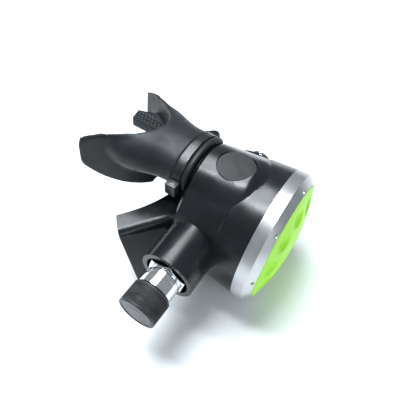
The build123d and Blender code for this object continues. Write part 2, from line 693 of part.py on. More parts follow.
def tee_plan(z, inset, wing_y, tip_y):
    """Plan outline of the tee at a height, inside a wall and on past the open ends."""
    front = TEE_FRONT_Y + inset
    lean = math.atan2(wing_y - TEE_FRONT_Y, TEE_WING_X - TEE_FRONT_HALF)
    past_end = Vector(math.cos(lean), math.sin(lean)) * inset * 4
    wing = Vector(TEE_WING_X, wing_y) + past_end + Vector(-math.sin(lean), math.cos(lean)) * inset
    tip = Vector(TEE_TIP_X, tip_y) + past_end - Vector(0, inset * 1.3)
    start = Vector(TEE_FRONT_HALF, front)
    middle = (0, TEE_MIDDLE_Y - inset)
    rear = Spline(tip, middle, (-tip.X, tip.Y), tangents=((-1, -0.75), (-1, 0.75)))
    sides = Polyline((-tip.X, tip.Y), (-wing.X, wing.Y), (-start.X, start.Y), start, wing, tip)
    return Pos(0, 0, z) * make_face(rear + sides)


def tee_block(inset):
    """The tee's body between its floor and its top, inside a wall of this thickness."""
    foot = tee_plan(FLOOR_Z + inset, inset, TEE_WING_FOOT_Y, TEE_TIP_FOOT_Y)
    top = tee_plan(TEE_TOP - inset, inset, TEE_WING_Y, TEE_TIP_Y)
    return loft([foot, top], ruled=True)


def make_exhaust_tee():
    outer = tee_block(0.0)
    upper = outer.edges().group_by(Axis.Z)[-1]
    rear_edge = upper.filter_by(lambda edge: edge.length > TEE_TIP_X + TEE_WING_X)
    side_edges = upper.filter_by(lambda edge: TEE_EDGE * 4 < edge.length < TEE_TIP_X)
    outer = fillet(rear_edge + side_edges, TEE_EDGE)
    tee = outer - tee_block(TEE_WALL)
    return tee - along_y(Circle(PORT_COLLAR_R), CASE_DEPTH, CASE_DEPTH + PORT_COLLAR + CONTACT_GAP, z=PORT_Z)


# ---- mouthpiece -------------------------------------------------------------------
def flange_curve(depth_shift, width_shift):
    """Half-round curve of the flange in plan."""
    half = FLANGE_HALF_WIDTH - width_shift
    end_y = FLANGE_Y + FLANGE_SWEEP
    return Bezier((-half, end_y), (0, 2 * (FLANGE_Y + depth_shift) - end_y), (half, end_y))


def flange_hollow():
    """Everything on the mouth side of the flange."""
    inner = flange_curve(FLANGE_SHEET, FLANGE_SHEET)
    far = FLANGE_Y + 2 * FLANGE_SWEEP
    ends = Polyline(inner @ 1, (FLANGE_HALF_WIDTH, far), (-FLANGE_HALF_WIDTH, far), inner @ 0)
    return extrude(Plane.XY * make_face(inner + ends), amount=2 * FLANGE_HALF_HEIGHT, both=True)


def make_flange():
    outer = flange_curve(0, 0)
    inner = flange_curve(FLANGE_SHEET, FLANGE_SHEET)
    band = make_face(outer + inner + Line(outer @ 0, inner @ 0) + Line(outer @ 1, inner @ 1))
    sheet = extrude(Plane.XY * band, amount=2 * FLANGE_HALF_HEIGHT, both=True)
    outline = RectangleRounded(2 * FLANGE_HALF_WIDTH, 2 * FLANGE_HALF_HEIGHT, FLANGE_CORNER)
    outline -= Pos(0, NOTCH_DEPTH - FLANGE_HALF_HEIGHT - NOTCH_R) * Circle(NOTCH_R)
    window = along_y(outline, FLANGE_Y - 1, FLANGE_Y + FLANGE_SWEEP)
    return Pos(0, 0, FLANGE_Z) * (sheet & window)


def bite_tab(side):
    """Level plate that the teeth hold, joined to the flange beside the air passage."""
    root_y = FLANGE_Y + FLANGE_SHEET / 2 + FLANGE_SWEEP * (TAB_ROOT / FLANGE_HALF_WIDTH) ** 2
    plan = make_face(Polyline(
        (side * (TAB_OUTSIDE - 2.0), FLANGE_Y + TAB_START),
        (side * TAB_INSIDE, FLANGE_Y + TAB_START + TAB_THICKNESS / 2),
        (side * TAB_INSIDE, FLANGE_Y + TAB_END - 2.0),
        (side * TAB_OUTSIDE, FLANGE_Y + TAB_END),
        (side * TAB_ROOT, root_y),
        close=True,
    ))
    return extrude(Pos(0, 0, FLANGE_Z) * plan, amount=TAB_THICKNESS / 2, both=True)


def make_mouthpiece():
    start = CASE_DEPTH + NECK_START
    groove_end = TIE_Y + TIE_WIDTH + TIE_GAP
    bead = oval_loft(
        (start, NECK_HALF_WIDTH + BEAD_HEIGHT, NECK_HALF_HEIGHT + BEAD_HEIGHT),
        (start + BEAD_LENGTH, NECK_HALF_WIDTH + BEAD_HEIGHT, NECK_HALF_HEIGHT + BEAD_HEIGHT),
    )
    groove = oval_loft(
        (start, NECK_HALF_WIDTH, NECK_HALF_HEIGHT),
        (groove_end, NECK_HALF_WIDTH, NECK_HALF_HEIGHT),
    )
    width = NECK_HALF_WIDTH + TIE_GROOVE_DEPTH
    height = NECK_HALF_HEIGHT + TIE_GROOVE_DEPTH
    flank_y = FLANGE_Y + FLANGE_SWEEP * ((width + NECK_FLARE) / FLANGE_HALF_WIDTH) ** 2
    neck = oval_loft(
        (groove_end, width, height),
        (groove_end + NECK_FLARE_LENGTH / 2, width, height),
        (groove_end + NECK_FLARE_LENGTH, width + NECK_FLARE / 3, height + NECK_FLARE / 6),
        (flank_y, width + NECK_FLARE, height + NECK_FLARE / 3),
    )
    neck -= Pos(0, 0, FLANGE_Z) * flange_hollow()
    body = bead + groove + neck + make_flange()
    socket = oval_loft(
        (start, SPIGOT_HALF_WIDTH + FIT, SPIGOT_HALF_HEIGHT + FIT),
        (CASE_DEPTH + SPIGOT_LENGTH, SPIGOT_HALF_WIDTH + FIT, SPIGOT_HALF_HEIGHT + FIT),
    )
    passage_width = SPIGOT_HALF_WIDTH - SPIGOT_WALL
    passage_height = SPIGOT_HALF_HEIGHT - SPIGOT_WALL
    passage = oval_loft(
        (CASE_DEPTH, passage_width, passage_height),
        (FLANGE_Y + TAB_END, passage_width, passage_height),
    )
    return body - socket - passage + bite_tab(1) + bite_tab(-1)


def make_mouthpiece_tie():
    inner = Ellipse(NECK_HALF_WIDTH + FIT, NECK_HALF_HEIGHT + FIT)
    outer = Ellipse(NECK_HALF_WIDTH + FIT + TIE_THICKNESS, NECK_HALF_HEIGHT + FIT + TIE_THICKNESS)
    band = along_y(outer - inner, TIE_Y, TIE_Y + TIE_WIDTH, z=SPIGOT_Z)
    head = Box(TIE_HEAD_HEIGHT, TIE_WIDTH, TIE_HEAD)
    head_x = NECK_HALF_WIDTH + TIE_THICKNESS / 2 + TIE_HEAD_HEIGHT / 2
    band += Pos(-head_x, TIE_Y + TIE_WIDTH / 2, SPIGOT_Z - 2.0) * head
    return band - along_y(inner, TIE_Y - TIE_WIDTH, TIE_Y + 2 * TIE_WIDTH, z=SPIGOT_Z)


PIECES = {
    "case": make_case,
    "badge_disc": make_badge,
    "cover_ring": make_cover_ring,
    "purge_cover": make_purge_cover,
    "purge_spring": make_purge_spring,
    "diaphragm_washer": make_diaphragm_washer,
    "diaphragm": make_diaphragm,
    "diaphragm_plate": make_diaphragm_plate,
    "valve_barrel": make_valve_barrel,
    "inlet_fitting": make_inlet_fitting,
    "inlet_washer": make_inlet_washer,
    "orifice": make_orifice,
    "poppet": make_poppet,
    "poppet_seat": make_poppet_seat,
    "poppet_spring": make_poppet_spring,
    "spring_carriage": make_spring_carriage,
    "adjuster_body": make_adjuster_body,
    "adjuster_spindle": make_adjuster_spindle,
    "adjuster_knob": make_adjuster_knob,
    "knob_screw": make_knob_screw,
    "knob_cap": make_knob_cap,
    "lever_bracket": make_lever_bracket,
    "lever_pin": make_lever_pin,
    "demand_lever": make_demand_lever,
    "exhaust_valve": make_exhaust_valve,
    "exhaust_tee": make_exhaust_tee,
    "mouthpiece": make_mouthpiece,
    "mouthpiece_tie": make_mouthpiece_tie,
}

os.makedirs("parts", exist_ok=True)
to_inlet = Pos(-THREAD_MIDDLE, -VALVE_Y, -VALVE_Z)
for name, make in PIECES.items():
    export_step(to_inlet * make(), f"parts/{name}.step")
    print("wrote", name, flush=True)
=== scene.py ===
import json
import math

import bmesh
import bpy
from mathutils import Matrix, Vector


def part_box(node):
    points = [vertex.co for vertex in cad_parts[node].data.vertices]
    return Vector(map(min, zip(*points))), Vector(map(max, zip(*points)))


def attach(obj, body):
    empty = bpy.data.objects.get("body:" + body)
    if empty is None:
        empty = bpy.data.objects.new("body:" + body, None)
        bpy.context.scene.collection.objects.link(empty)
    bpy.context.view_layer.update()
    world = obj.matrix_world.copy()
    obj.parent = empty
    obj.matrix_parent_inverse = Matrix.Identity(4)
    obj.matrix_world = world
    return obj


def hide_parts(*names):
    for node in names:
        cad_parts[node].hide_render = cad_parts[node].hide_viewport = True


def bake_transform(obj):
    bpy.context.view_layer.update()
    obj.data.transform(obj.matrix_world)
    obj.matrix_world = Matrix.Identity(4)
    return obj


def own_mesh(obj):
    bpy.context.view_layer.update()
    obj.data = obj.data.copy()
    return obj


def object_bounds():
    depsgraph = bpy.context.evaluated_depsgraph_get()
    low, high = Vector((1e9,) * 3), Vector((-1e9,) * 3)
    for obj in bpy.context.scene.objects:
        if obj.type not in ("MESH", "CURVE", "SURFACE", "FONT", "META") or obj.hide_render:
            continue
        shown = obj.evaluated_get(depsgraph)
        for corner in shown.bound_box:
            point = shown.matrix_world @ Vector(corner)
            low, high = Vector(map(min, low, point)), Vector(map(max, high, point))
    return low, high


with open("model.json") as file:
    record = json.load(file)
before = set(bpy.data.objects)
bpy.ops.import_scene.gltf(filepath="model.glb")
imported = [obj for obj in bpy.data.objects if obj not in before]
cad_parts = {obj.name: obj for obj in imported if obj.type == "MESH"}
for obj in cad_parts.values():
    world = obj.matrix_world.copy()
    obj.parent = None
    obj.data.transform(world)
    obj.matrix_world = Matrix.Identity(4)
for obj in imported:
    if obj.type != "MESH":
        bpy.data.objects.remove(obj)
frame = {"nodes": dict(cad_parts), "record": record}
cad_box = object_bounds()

# Everything is in metres from the middle of the hose inlet's thread. The valve axis is
# the X axis of that frame, and the case axis runs along Y through AXIS.
NODES = frame["nodes"]
MM = 0.001
RING_LOW, RING_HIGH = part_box("cover_ring")
AXIS = Vector(((RING_LOW.x + RING_HIGH.x) / 2, RING_HIGH.y, (RING_LOW.z + RING_HIGH.z) / 2))

# ---- camera and light -------------------------------------------------------------
CAMERA_AT = Vector((-0.1611, -0.0546, 0.1720))
CAMERA_RIGHT = Vector((0.542, -0.837, 0.071))
CAMERA_UP = Vector((0.646, 0.470, 0.602))
LENS = 34.48
WORLD_STRENGTH = 0.36
SKY = (0.84, 0.94, 1.0)
LAMP = (0.90, 0.955, 1.0)

# ---- knob -------------------------------------------------------------------------
KNURLS_ROUND = 54
KNURL_DEPTH = 0.38 * MM
KNURL_MARGIN = 0.7 * MM
KNOB_EDGE = 0.5 * MM
CAP_R = 8.0 * MM
CAP_RISE = 0.35 * MM
CAP_GROOVE_R = 6.6 * MM
CAP_GROOVE_DEPTH = 0.08 * MM
SCREW_HOLE_R = 3.0 * MM
HEX_CROWN = 1.4 * MM          # how far a hexagon's crown stands above its flats
ADJUSTER_HEX = 19.2 * MM
ADJUSTER_HEX_TURN = math.radians(42.0)
ADJUSTER_HEX_LENGTH = 7.0 * MM
SLEEVE_R = 8.8 * MM
SLEEVE_NECK_R = 8.3 * MM
SLEEVE_GROOVE = 0.12 * MM
SPINDLE_BORE_R = 3.05 * MM
SPINDLE_FLANGE_BORE_R = 4.65 * MM
SPINDLE_FLANGE_ROOM = 1.9 * MM

# ---- inlet ------------------------------------------------------------------------
THREAD_PITCH = 25.4 / 18 * MM
THREAD_DEPTH = 0.75 * MM
STUB_R = 7.14 * MM
STUB_BORE_R = 3.6 * MM
STUB_CHAMFER = 0.6 * MM
INLET_HEX = 19.0 * MM
INLET_HEX_LENGTH = 3.0 * MM
INLET_TUBE_R = 6.3 * MM
INLET_RELIEF = 1.2 * MM
INLET_RELIEF_R = 6.2 * MM
ORIFICE_POCKET = 2.0 * MM
ORIFICE_R = 4.6 * MM

# ---- mouthpiece and its tie -------------------------------------------------------
SKIN_VOXEL = 0.55 * MM
SKIN_PASSES = 5
FLARE_PASSES = 40
FLARE_BEFORE = 9 * MM         # how far the smoothed flare reaches either side of the neck's end
FLARE_AFTER = 22 * MM
FLARE_HALF_WIDTH = 22.0
FLARE_HALF_HEIGHT = 15.0
TWIST = math.radians(5.0)
TWIST_START = 50.0 * MM
DIMPLE_PITCH = 2.3 * MM
DIMPLE_R = 0.95 * MM
DIMPLE_DEPTH = 0.8 * MM
TAB_INSIDE = 9.5 * MM
TAB_OUTSIDE = 17.5 * MM
TAB_START = 79.0 * MM
TAB_END = 99.0 * MM
TAB_Z = 20.0 * MM
TAB_REACH = 4.2 * MM
NECK_END = 66.0 * MM
TOOTH_PITCH = 0.9 * MM
TOOTH_DEPTH = 0.07 * MM
TIE_THICKNESS = 1.2 * MM
TIE_EDGE = 0.25 * MM
TIE_GAP = 0.05 * MM
TIE_HEAD_DEPTH = 5.0 * MM
TIE_HEAD_DROP = 2.0 * MM      # below the middle of the tube


# ---- camera, light and floor ------------------------------------------------------
def make_camera():
    data = bpy.data.cameras.new("camera")
    data.lens = LENS
    data.sensor_width = 36.0
    data.clip_start = 0.01
    camera = bpy.data.objects.new("camera", data)
    right = CAMERA_RIGHT.normalized()
    back = right.cross(CAMERA_UP).normalized()
    up = back.cross(right)
    turn = Matrix((right, up, back)).transposed()
    camera.matrix_world = Matrix.Translation(CAMERA_AT) @ turn.to_4x4()
    bpy.context.scene.collection.objects.link(camera)
    bpy.context.scene.camera = camera


def make_world():
    world = bpy.data.worlds.new("studio")
    world.use_nodes = True
    background = world.node_tree.nodes["Background"]
    background.inputs["Color"].default_value = (*SKY, 1)
    background.inputs["Strength"].default_value = WORLD_STRENGTH
    bpy.context.scene.world = world
    bpy.context.scene.view_settings.view_transform = "Standard"


def softbox(name, at, look, width, height, power):
    """Rectangular area light aimed at a point."""
    light = bpy.data.lights.new(name, "AREA")
    light.shape = "RECTANGLE"
    light.size = width
    light.size_y = height
    light.energy = power
    light.color = LAMP
    lamp = bpy.data.objects.new(name, light)
    lamp.location = at
    lamp.rotation_euler = (Vector(look) - Vector(at)).to_track_quat("-Z", "Y").to_euler()
    bpy.context.scene.collection.objects.link(lamp)


def make_floor(level):
    reach = 3.0
    mesh = bpy.data.meshes.new("floor")
    corners = [(x * reach, y * reach, level) for x, y in ((-1, -1), (1, -1), (1, 1), (-1, 1))]
    mesh.from_pydata(corners, [], [(0, 1, 2, 3)])
    floor = bpy.data.objects.new("floor", mesh)
    bpy.context.scene.collection.objects.link(floor)
    paper = surface(
        "paper", (0.93, 0.94, 0.95), (0.96, 0.965, 0.97), 14, (0.7, 0.8), 30, 0.02 * MM, 2500,
    )
    floor.data.materials.append(paper)


# ---- materials --------------------------------------------------------------------
class Graph:
    """A material's node tree, with short calls to add and join nodes."""

    def __init__(self, name):
        self.material = bpy.data.materials.new(name)
        self.material.use_nodes = True
        self.nodes = self.material.node_tree.nodes
        self.links = self.material.node_tree.links
        self.shader = self.nodes["Principled BSDF"]

    def join(self, out, socket):
        self.links.new(out, socket)

    def add(self, kind, **settings):
        node = self.nodes.new(kind)
        for key, value in settings.items():
            setattr(node, key, value)
        return node

    def place(self):
        return self.add("ShaderNodeTexCoord").outputs["Object"]

    def noise(self, at, scale, detail=3.0):
        node = self.add("ShaderNodeTexNoise")
        node.inputs["Scale"].default_value = scale
        node.inputs["Detail"].default_value = detail
        self.join(at, node.inputs["Vector"])
        return node.outputs["Fac"]

    def ramp(self, value, low, high, start=0.35, end=0.65):
        node = self.add("ShaderNodeValToRGB")
        node.color_ramp.elements[0].position = start
        node.color_ramp.elements[1].position = end
        node.color_ramp.elements[0].color = (*low, 1)
        node.color_ramp.elements[1].color = (*high, 1)
        self.join(value, node.inputs["Fac"])
        return node.outputs["Color"]

    def spread(self, value, low, high, start=0.3, end=0.7):
        node = self.add("ShaderNodeMapRange")
        node.inputs["From Min"].default_value = start
        node.inputs["From Max"].default_value = end
        node.inputs["To Min"].default_value = low
        node.inputs["To Max"].default_value = high
        self.join(value, node.inputs["Value"])
        return node.outputs["Result"]

    def mix(self, share, first, second):
        node = self.add("ShaderNodeMix", data_type="RGBA")
        self.join(share, node.inputs["Factor"])
        self.join(first, node.inputs[6])
        self.join(second, node.inputs[7])
        return node.outputs[2]

    def math(self, operation, first, second):
        node = self.add("ShaderNodeMath", operation=operation)
        for socket, value in zip(node.inputs, (first, second)):
            if isinstance(value, (int, float)):
                socket.default_value = value
            else:
                self.join(value, socket)
        return node.outputs["Value"]

    def bump(self, height, depth, under=None):
        node = self.add("ShaderNodeBump")
        node.inputs["Distance"].default_value = depth
        self.join(height, node.inputs["Height"])
        if under is not None:
            self.join(under, node.inputs["Normal"])
        return node.outputs["Normal"]

    def edges(self, start=0.56, end=0.68):
        """How much of an outer edge a point is on, from 0 to 1."""
        return self.spread(self.add("ShaderNodeNewGeometry").outputs["Pointiness"], 0, 1, start, end)


def surface(
    name, dark, light, scale, rough, rough_scale, grain, grain_scale, wear=None, wave=0.0, **sockets
):
    """Moulded or painted surface: colour mottle, uneven gloss, fine grain and worn edges."""
    graph = Graph(name)
    at = graph.place()
    colour = graph.ramp(graph.noise(at, scale), dark, light)
    gloss = graph.spread(graph.noise(at, rough_scale, 5.0), *rough)
    if wear is not None:
        patchy = graph.math("MULTIPLY", graph.edges(), graph.spread(graph.noise(at, 900), 0, 0.9))
        worn = graph.ramp(patchy, wear, wear)
        colour = graph.mix(patchy, colour, worn)
    normal = graph.bump(graph.noise(at, grain_scale, 2.0), grain)
    if wave:
        normal = graph.bump(graph.noise(at, 55, 1.0), wave, normal)
    graph.join(colour, graph.shader.inputs["Base Color"])
    graph.join(gloss, graph.shader.inputs["Roughness"])
    graph.join(normal, graph.shader.inputs["Normal"])
    for key, value in sockets.items():
        graph.shader.inputs[key.replace("_", " ")].default_value = value
    return graph.material


def turned_metal(name, dark, light, rough, line_depth, centre, along, line_scale=2600, **sockets):
    """Metal turned or brushed about an axis: fine lines run round it."""
    graph = Graph(name)
    at = graph.place()
    shift = graph.add("ShaderNodeVectorMath", operation="SUBTRACT")
    shift.inputs[1].default_value = centre
    graph.join(at, shift.inputs[0])
    split = graph.add("ShaderNodeSeparateXYZ")
    graph.join(shift.outputs[0], split.inputs[0])
    across = [split.outputs[axis] for axis in "XYZ" if axis != along]
    squares = [graph.math("MULTIPLY", out, out) for out in across]
    radius = graph.math("SQRT", graph.math("ADD", *squares), 0.0)
    rings = graph.add("ShaderNodeCombineXYZ")
    graph.join(radius, rings.inputs[0])
    graph.join(split.outputs[along], rings.inputs[1])
    lines = graph.noise(rings.outputs[0], line_scale, 4.0)
    stains = graph.noise(at, 90, 4.0)

    def blended(line_share):
        lined = graph.math("MULTIPLY", lines, line_share)
        return graph.math("ADD", lined, graph.math("MULTIPLY", stains, 1 - line_share))

    colour = graph.ramp(blended(0.4), dark, light)
    gloss = graph.spread(blended(0.5), *rough)
    graph.join(colour, graph.shader.inputs["Base Color"])
    graph.join(gloss, graph.shader.inputs["Roughness"])
    graph.join(graph.bump(lines, line_depth), graph.shader.inputs["Normal"])
    graph.shader.inputs["Metallic"].default_value = 1.0
    for key, value in sockets.items():
        graph.shader.inputs[key.replace("_", " ")].default_value = value
    return graph.material


def make_materials():
    """One material for each slot of the record."""
    valve = (0.0, 0.0, 0.0)
    case = tuple(AXIS)
    return {
        "housing": surface(
            "moulded_black", (0.0052, 0.0060, 0.0074), (0.0090, 0.0100, 0.0120), 60, (0.20, 0.30), 140,
            0.010 * MM, 2600, wave=0.05 * MM, Specular_IOR_Level=0.4,
        ),
        "ring": turned_metal(
            "satin_ring", (0.50, 0.505, 0.51), (0.64, 0.645, 0.65), (0.27, 0.42), 0.004 * MM, case, "Y",
        ),
        "cover": surface(
            "lime_cover", (0.37, 0.84, 0.010), (0.44, 0.92, 0.016), 50, (0.36, 0.48), 160,
            0.010 * MM, 2200, Specular_IOR_Level=0.35,
            Subsurface_Weight=0.15, Subsurface_Scale=0.002,
        ),
        "badge": surface(
            "badge_inlay", (0.010, 0.0105, 0.0115), (0.016, 0.0165, 0.018), 90, (0.30, 0.42), 220,
            0.008 * MM, 3200, wear=(0.04, 0.041, 0.043),
        ),
        "spring_steel": turned_metal(
            "spring_wire", (0.42, 0.42, 0.41), (0.60, 0.60, 0.58), (0.25, 0.4), 0.003 * MM, case, "Y",
        ),
        "nylon": surface(
            "natural_nylon", (0.60, 0.58, 0.52), (0.72, 0.70, 0.64), 120, (0.4, 0.55), 300,
            0.01 * MM, 2400, Subsurface_Weight=0.1, Subsurface_Scale=0.001,
        ),
        "silicone": surface(
            "soft_silicone", (0.02, 0.02, 0.021), (0.035, 0.035, 0.036), 100, (0.45, 0.6), 200,
            0.008 * MM, 2600,
        ),
        "steel": turned_metal(
            "stamped_steel", (0.45, 0.45, 0.45), (0.60, 0.60, 0.60), (0.22, 0.38), 0.004 * MM,
            valve, "Z", 1400,
        ),
        "chrome": turned_metal(
            "bright_chrome", (0.74, 0.75, 0.765), (0.82, 0.825, 0.835), (0.06, 0.16), 0.0012 * MM,
            valve, "X", 3200,
        ),
        "brass": turned_metal(
            "turned_brass", (0.55, 0.37, 0.12), (0.72, 0.52, 0.20), (0.2, 0.34), 0.004 * MM, valve, "X",
        ),
        "knob": surface(
            "charcoal_knurl", (0.013, 0.0135, 0.015), (0.022, 0.0225, 0.025), 160, (0.36, 0.5), 300,
            0.008 * MM, 3000, wear=(0.075, 0.077, 0.082),
        ),
        "cap": surface(
            "grey_cap", (0.066, 0.068, 0.073), (0.088, 0.090, 0.096), 120, (0.38, 0.5), 260,
            0.010 * MM, 2800, wear=(0.14, 0.142, 0.15),
        ),
        "mouth_silicone": surface(
            "mouth_silicone", (0.0085, 0.0100, 0.0120), (0.0140, 0.0155, 0.0180), 70, (0.40, 0.54), 150,
            0.02 * MM, 1900, wave=0.05 * MM, Specular_IOR_Level=0.28,
            Sheen_Weight=0.03, Sheen_Roughness=0.5,
        ),
        "tie": surface(
            "tie_nylon", (0.006, 0.0065, 0.007), (0.011, 0.0115, 0.0125), 200, (0.24, 0.36), 260,
            0.006 * MM, 3000, wear=(0.04, 0.041, 0.044),
        ),
    }


# ---- mesh helpers -----------------------------------------------------------------
def shown(name, mesh, material_slot, *nodes):
    """Object from a mesh, in place of its CAD nodes."""
    obj = bpy.data.objects.new(name, mesh)
    bpy.context.scene.collection.objects.link(obj)
    mesh.materials.clear()
    mesh.materials.append(MATERIALS[material_slot])
    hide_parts(*nodes)
    return obj


def piece(name, mesh, material_slot, body, *nodes):
    """Object from a mesh, riding on a body in place of its CAD nodes."""
    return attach(shown(name, mesh, material_slot, *nodes), body)


def smooth(mesh, angle=35.0):
    """Shade smooth, with edges sharper than the angle kept crisp."""
    mesh.shade_smooth()
    mesh.set_sharp_from_angle(angle=math.radians(angle))


def turned(name, profile, around, radius):
    """Closed ring-shaped mesh about the valve axis; radius(x, r, turn) shapes each point."""
    verts = []
    for x, r in profile:
        for step in range(around):
            turn = 2 * math.pi * step / around
            reach = radius(x, r, turn)
            verts.append((x, reach * math.cos(turn), reach * math.sin(turn)))
    faces = []
    rows = len(profile)
    for row in range(rows):
        below = row * around
        above = (row + 1) % rows * around
        for step in range(around):
            beside = (step + 1) % around
            faces.append((below + step, above + step, above + beside, below + beside))
    mesh = bpy.data.meshes.new(name)
    mesh.from_pydata(verts, [], faces)
    tidy_normals(mesh)
    return mesh


def tidy_normals(mesh):
    work = bmesh.new()
    work.from_mesh(mesh)
    bmesh.ops.remove_doubles(work, verts=work.verts, dist=1e-7)
    bmesh.ops.recalc_face_normals(work, faces=work.faces)
    work.to_mesh(mesh)
    work.free()


def between(start, end, step):
    """Evenly spaced values from start to end, no further apart than a step."""
    count = max(1, math.ceil(abs(end - start) / step))
    return [start + (end - start) * number / count for number in range(count + 1)]


def triangle(value):
    """Triangle wave from 0 to 1 with a period of 1."""
    return abs(value % 1.0 - 0.5) * 2


def welded_copy(node):
    """The node's mesh as one connected surface, in a new mesh."""
    mesh = NODES[node].data.copy()
    work = bmesh.new()
    work.from_mesh(mesh)
    bmesh.ops.remove_doubles(work, verts=work.verts, dist=2e-6)
    work.to_mesh(mesh)
    work.free()
    return mesh


def remeshed(mesh, voxel):
    """Even quad skin over a closed mesh."""
    holder = bpy.data.objects.new("remesh", mesh)
    bpy.context.scene.collection.objects.link(holder)
    modifier = holder.modifiers.new("voxels", "REMESH")
    modifier.mode = "VOXEL"
    modifier.voxel_size = voxel
    shown = holder.evaluated_get(bpy.context.evaluated_depsgraph_get())
    skin = bpy.data.meshes.new_from_object(shown)
    bpy.data.objects.remove(holder)
    return skin


# ---- knob -------------------------------------------------------------------------
def make_knob():
    low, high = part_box("adjuster_knob")
    outer = high.y
    grip_start = low.x + KNURL_MARGIN
    grip_end = high.x - KNURL_MARGIN
    lead = 2 * math.pi * outer / KNURLS_ROUND

    def knurl(x, r, turn):
        if r < outer - 1e-6 or not grip_start <= x <= grip_end:
            return r
        swing = KNURLS_ROUND * turn / (2 * math.pi)
        left = 1 - triangle(swing + (x - grip_start) / lead)
        right = 1 - triangle(swing - (x - grip_start) / lead)
        fade = min(1.0, (x - grip_start) / KNURL_MARGIN, (grip_end - x) / KNURL_MARGIN)
        return r - KNURL_DEPTH * fade * max(0.0, 1 - 1.7 * min(1 - left, 1 - right))

    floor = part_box("knob_cap")[1].x
    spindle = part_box("adjuster_spindle")
    rounding = KNOB_EDGE * 0.3
    profile = [(x, outer) for x in between(low.x + KNOB_EDGE, high.x - KNOB_EDGE, 0.14 * MM)]
    profile += [(high.x - rounding, outer - rounding), (high.x, outer - KNOB_EDGE)]
    profile += [(high.x, SCREW_HOLE_R), (max(floor, spindle[0].x), SCREW_HOLE_R)]
    profile += [(floor, SCREW_HOLE_R + 0.3 * MM), (floor, CAP_R)]
    profile += [(low.x + 0.15 * MM, CAP_R), (low.x, CAP_R + 0.15 * MM), (low.x, outer - KNOB_EDGE)]
    profile += [(low.x + rounding, outer - rounding)]
    mesh = turned("knurled_knob", profile, KNURLS_ROUND * 8, knurl)
    smooth(mesh, 50)
    piece("knurled_knob", mesh, "knob", "knob", "adjuster_knob")


def make_cap():
    """End cap, slightly domed, with a shallow ring pressed into it."""
    low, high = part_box("knob_cap")
    edge = CAP_R - 0.03 * MM
    profile = [(high.x, 0.05 * MM), (high.x, edge), (low.x + 0.25 * MM, edge)]
    for r in between(edge - 0.25 * MM, 0.05 * MM, 0.3 * MM):
        dome = CAP_RISE * (r / edge) ** 2
        groove = CAP_GROOVE_DEPTH if abs(r - CAP_GROOVE_R) < 0.2 * MM else 0.0
        profile.append((low.x + dome * 0.6 + groove, r))
    mesh = turned("domed_cap", profile, 96, lambda x, r, turn: r)
    smooth(mesh, 40)
    piece("domed_cap", mesh, "cap", "knob", "knob_cap")


# ---- adjuster ---------------------------------------------------------------------
def hexagon_reach(turn, across, phase):
    """Distance from the axis to a hexagon's side in one direction."""
    flat = (turn - phase) % (math.pi / 3) - math.pi / 6
    return across / 2 / math.cos(flat)


def make_adjuster():
    """Chromed nut with a grooved sleeve that the knob turns on."""
    low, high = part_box("adjuster_body")
    hex_end = high.x - ADJUSTER_HEX_LENGTH
    crown = ADJUSTER_HEX / 2 + HEX_CROWN

    def shape(x, r, turn):
        if r != crown:
            return r
        bevel = max(0.0, min(1.0, (x - hex_end) / (0.7 * MM)))
        round_r = ADJUSTER_HEX / 2 + (0.35 + 1.15 * bevel) * MM
        return min(hexagon_reach(turn, ADJUSTER_HEX, ADJUSTER_HEX_TURN), round_r)

    profile = [(high.x, SPINDLE_FLANGE_BORE_R), (high.x, ADJUSTER_HEX / 2 - 1.0 * MM)]
    profile += [(x, crown) for x in between(high.x, hex_end, 0.12 * MM)]
    profile += [(hex_end, ADJUSTER_HEX / 2 - 0.2 * MM)]
    profile += [(hex_end - 0.15 * MM, SLEEVE_NECK_R), (hex_end - 0.9 * MM, SLEEVE_NECK_R)]
    profile += [(hex_end - 1.1 * MM, SLEEVE_R - 0.15 * MM), (hex_end - 1.25 * MM, SLEEVE_R)]
    profile += [(hex_end - 3.2 * MM, SLEEVE_R), (hex_end - 3.3 * MM, SLEEVE_R - SLEEVE_GROOVE)]
    profile += [(hex_end - 3.6 * MM, SLEEVE_R - SLEEVE_GROOVE), (hex_end - 3.7 * MM, SLEEVE_R)]
    profile += [(low.x + 0.4 * MM, SLEEVE_R), (low.x, SLEEVE_R - 0.4 * MM)]
    shoulder = high.x - SPINDLE_FLANGE_ROOM
    profile += [(low.x, SPINDLE_BORE_R), (shoulder, SPINDLE_BORE_R), (shoulder, SPINDLE_FLANGE_BORE_R)]
    mesh = turned("adjuster_nut", profile, 360, shape)
    smooth(mesh, 28)
    piece("adjuster_nut", mesh, "chrome", "housing", "adjuster_body")


